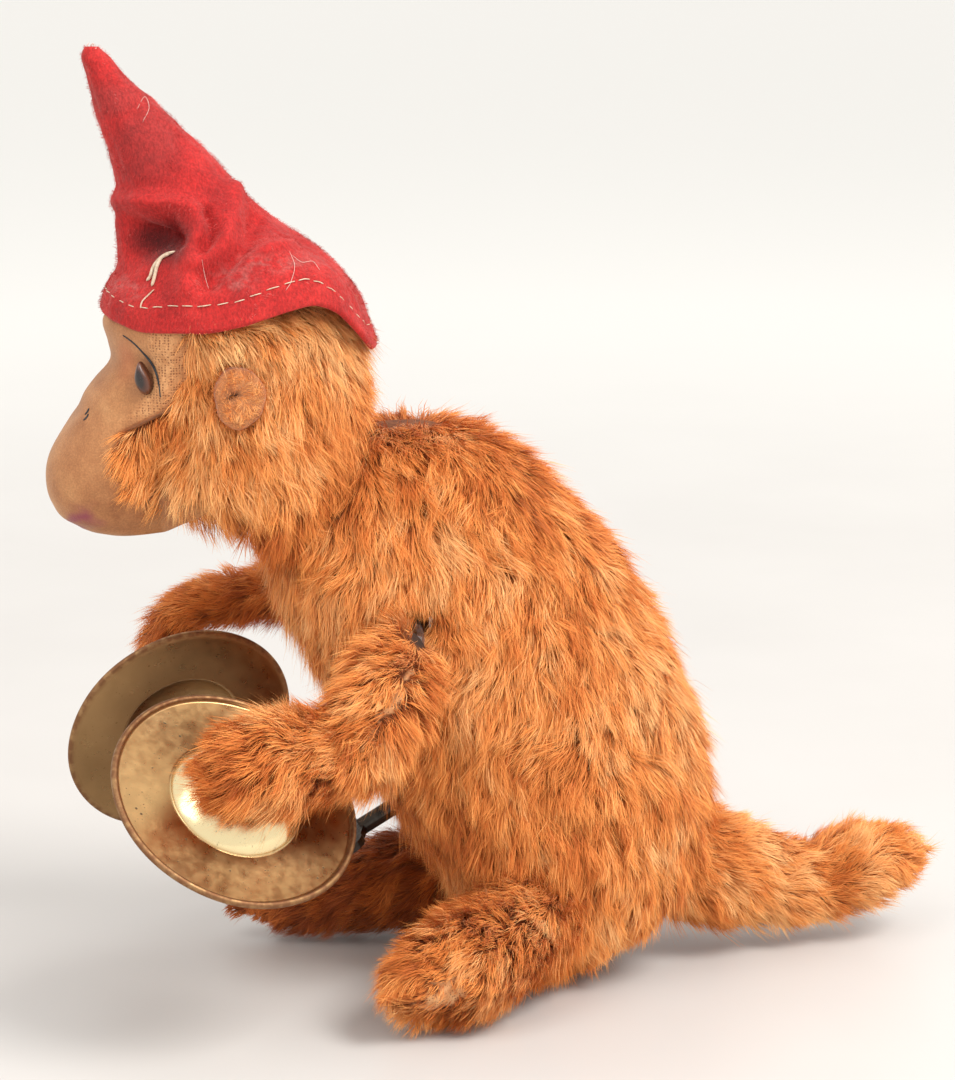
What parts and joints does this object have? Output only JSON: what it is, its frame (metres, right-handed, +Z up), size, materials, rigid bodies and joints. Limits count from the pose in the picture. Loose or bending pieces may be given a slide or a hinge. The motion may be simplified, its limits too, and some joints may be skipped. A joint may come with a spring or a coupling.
{
  "type": "wind-up cymbal monkey",
  "caption": "Seated plush-covered clockwork toy monkey in a felt cone cap, with arms that swing together to clap two tin cymbals; wound by a key in the belly.",
  "frame": {"origin": "middle of the body's flat seat, on the surface the toy sits on", "axes": "+Z up, the toy faces -Y and its left side is +X"},
  "size_m": [0.105, 0.1843, 0.193],
  "materials": {
    "mohair": "short combed mohair plush",
    "face_cloth": "worn woven velveteen",
    "ear_felt": "felt",
    "cap_felt": "soft wool felt",
    "eye_glass": "polished dark",
    "brassed_tin": "lacquered, worn and spotted",
    "tin_plate": "bare tinplate",
    "spring_steel": "dark",
    "steel_wire": "drawn",
    "brass": "stamped",
    "stuffing": "pressed fibre"
  },
  "bodies": {
    "body": {"body_cover": "mohair", "left_body_shell": "tin_plate", "right_body_shell": "tin_plate", "head_form": "stuffing", "head_cover": "mohair", "face_mask": "face_cloth", "left_eye": "eye_glass", "right_eye": "eye_glass", "left_ear": "ear_felt", "right_ear": "ear_felt", "cap": "cap_felt", "left_leg": "mohair", "right_leg": "mohair", "tail": "mohair", "front_plate": "tin_plate", "rear_plate": "tin_plate", "pillar_1": "spring_steel", "pillar_2": "spring_steel", "pillar_3": "spring_steel", "pillar_4": "spring_steel", "mainspring": "spring_steel", "shoulder_bracket": "tin_plate", "arm_spring": "spring_steel", "left_pivot_pin": "spring_steel", "right_pivot_pin": "spring_steel", "left_upper_sleeve": "mohair", "right_upper_sleeve": "mohair"},
    "winding": {"key": "spring_steel", "winding_arbor": "brass"},
    "drive_wheel": {"great_wheel": "brass"},
    "ratchet_click": {"click": "spring_steel"},
    "second_gear": {"second_wheel": "brass"},
    "cam_shaft": {"cam_arbor": "brass", "cam": "spring_steel"},
    "governor": {"fly": "brass"},
    "left_arm": {"left_arm_lever": "steel_wire", "left_forearm_cover": "mohair"},
    "right_arm": {"right_arm_lever": "steel_wire", "right_forearm_cover": "mohair"},
    "left_cymbal_body": {"left_cymbal": "brassed_tin", "left_cymbal_stud": "spring_steel"},
    "right_cymbal_body": {"right_cymbal": "brassed_tin", "right_cymbal_stud": "spring_steel"}
  },
  "joints": [
    {"name": "key_wind", "type": "hinge", "parent": "body", "child": "winding", "pos_m": [0, -0.0122, 0.047], "axis": [0, -0.866, -0.5], "continuous": true},
    {"name": "great_wheel_spin", "type": "hinge", "parent": "body", "child": "drive_wheel", "pos_m": [0, -0.0122, 0.047], "axis": [0, -0.866, -0.5], "continuous": true},
    {"name": "click_lift", "type": "hinge", "parent": "drive_wheel", "child": "ratchet_click", "pos_m": [-0.0056, -0.0097, 0.04267], "axis": [0, -0.866, -0.5], "range_deg": [-7, 4], "stiffness_Nm_per_rad": 0.0004, "springref_deg": -27.19},
    {"name": "second_wheel_spin", "type": "hinge", "parent": "body", "child": "second_gear", "pos_m": [0.00825, -0.01741, 0.05603], "axis": [0, -0.866, -0.5], "continuous": true},
    {"name": "cam_spin", "type": "hinge", "parent": "body", "child": "cam_shaft", "pos_m": [0, -0.0212, 0.06259], "axis": [0, -0.866, -0.5], "continuous": true},
    {"name": "fly_spin", "type": "hinge", "parent": "body", "child": "governor", "pos_m": [-0.0093, -0.01965, 0.05991], "axis": [0, -0.866, -0.5], "continuous": true},
    {"name": "left_arm_swing", "type": "hinge", "parent": "body", "child": "left_arm", "pos_m": [0.012, -0.031, 0.08], "axis": [0, 0.866, -0.5], "range_deg": [0, 36], "deforming": ["left_upper_sleeve", "arm_spring"]},
    {"name": "right_arm_swing", "type": "hinge", "parent": "body", "child": "right_arm", "pos_m": [-0.012, -0.031, 0.08], "axis": [0, -0.866, 0.5], "range_deg": [0, 31.01], "deforming": ["right_upper_sleeve", "arm_spring"]},
    {"name": "left_cymbal_tilt", "type": "hinge", "parent": "left_arm", "child": "left_cymbal_body", "pos_m": [0.03762, -0.06645, 0.05626], "axis": [-0.2108, 0.9535, -0.2154], "range_deg": [0, 20.36]},
    {"name": "right_cymbal_tilt", "type": "hinge", "parent": "right_arm", "child": "right_cymbal_body", "pos_m": [-0.03927, -0.0753, 0.04931], "axis": [-0.409, 0.186, -0.8934], "range_deg": [0, 29.94]}
  ],
  "couplings": [
    {"joint": "great_wheel_spin", "follows": "cam_spin", "ratio": 0.088889},
    {"joint": "second_wheel_spin", "follows": "cam_spin", "ratio": -0.33333},
    {"joint": "fly_spin", "follows": "cam_spin", "ratio": -2.5},
    {"joint": "right_arm_swing", "follows": "left_arm_swing", "ratio": 0.86111},
    {"joint": "left_cymbal_tilt", "follows": "left_arm_swing", "ratio": 0.56514},
    {"joint": "right_cymbal_tilt", "follows": "left_arm_swing", "ratio": 0.83107}
  ]
}
